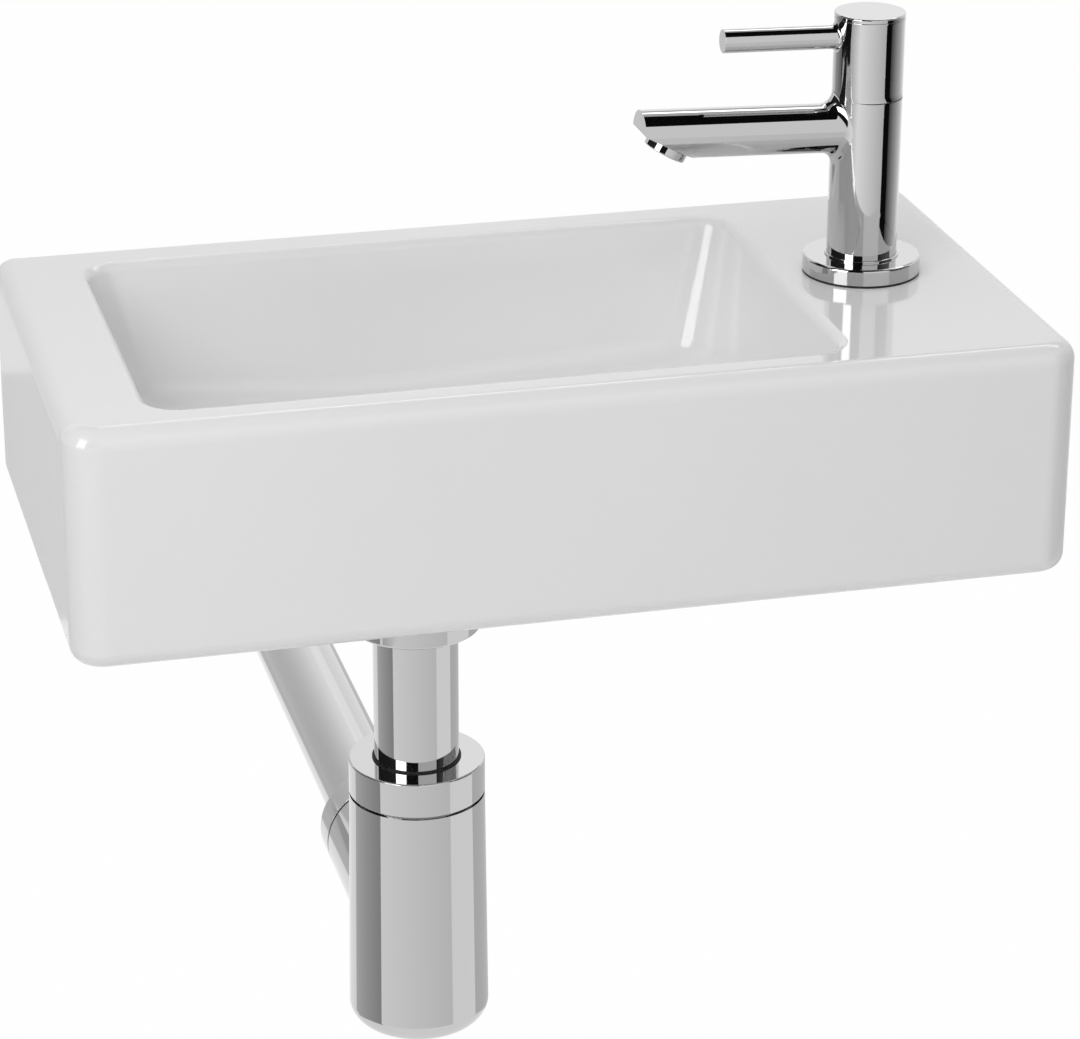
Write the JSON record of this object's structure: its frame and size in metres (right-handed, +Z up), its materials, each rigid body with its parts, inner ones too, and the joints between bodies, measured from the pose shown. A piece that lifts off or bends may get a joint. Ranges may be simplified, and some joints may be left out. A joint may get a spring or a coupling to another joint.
{
  "type": "wall hung hand basin",
  "caption": "Small rectangular wall hung hand basin with a right-hand deck, a single-lever pillar tap and a bottle trap with a wall pipe.",
  "frame": {"origin": "on the wall plane, midway between the two wall bolt holes", "axes": "+Z up, +X to the user's right, +Y into the wall; the basin stands out towards -Y"},
  "size_m": [0.36, 0.352, 0.3879],
  "materials": {
    "sanitary_ceramic": "gloss",
    "tap_chrome": "polished",
    "waste_chrome": "polished",
    "trap_chrome": "polished",
    "seal_rubber": "matte",
    "acetal": "satin",
    "bare_brass": "satin",
    "alumina": "satin",
    "steel": "satin"
  },
  "bodies": {
    "basin": {"basin": "sanitary_ceramic", "tap_body": "tap_chrome", "tap_base_ring": "tap_chrome", "aerator_housing": "tap_chrome", "tap_base_gasket": "seal_rubber", "headwork_lip_seal": "seal_rubber", "aerator_seal": "seal_rubber", "tap_rubber_washer": "seal_rubber", "waste_upper_seal": "seal_rubber", "waste_lower_seal": "seal_rubber", "trap_union_seal": "seal_rubber", "trap_gland_seal": "seal_rubber", "trap_outlet_seal": "seal_rubber", "aerator_insert": "acetal", "headwork_body": "bare_brass", "tap_backnut": "bare_brass", "waste_backnut": "bare_brass", "fixed_disc": "alumina", "tap_steel_washer": "steel", "waste_body": "waste_chrome", "waste_cover": "waste_chrome", "trap_union_nut": "trap_chrome", "trap_inlet_tube": "trap_chrome", "trap_gland_nut": "trap_chrome", "trap_bottle": "trap_chrome", "trap_outlet_nut": "trap_chrome", "trap_waste_pipe": "trap_chrome"},
    "handle": {"handle": "tap_chrome", "handle_top_disc": "tap_chrome", "handle_grub_screw": "steel", "spindle": "bare_brass", "spindle_o_ring": "seal_rubber", "turning_disc": "alumina"}
  },
  "joints": [
    {"name": "handle_turn", "type": "hinge", "parent": "basin", "child": "handle", "pos_m": [0.13, -0.089, 0.13], "axis": [0, 0, 1], "range_deg": [0, 90]}
  ]
}
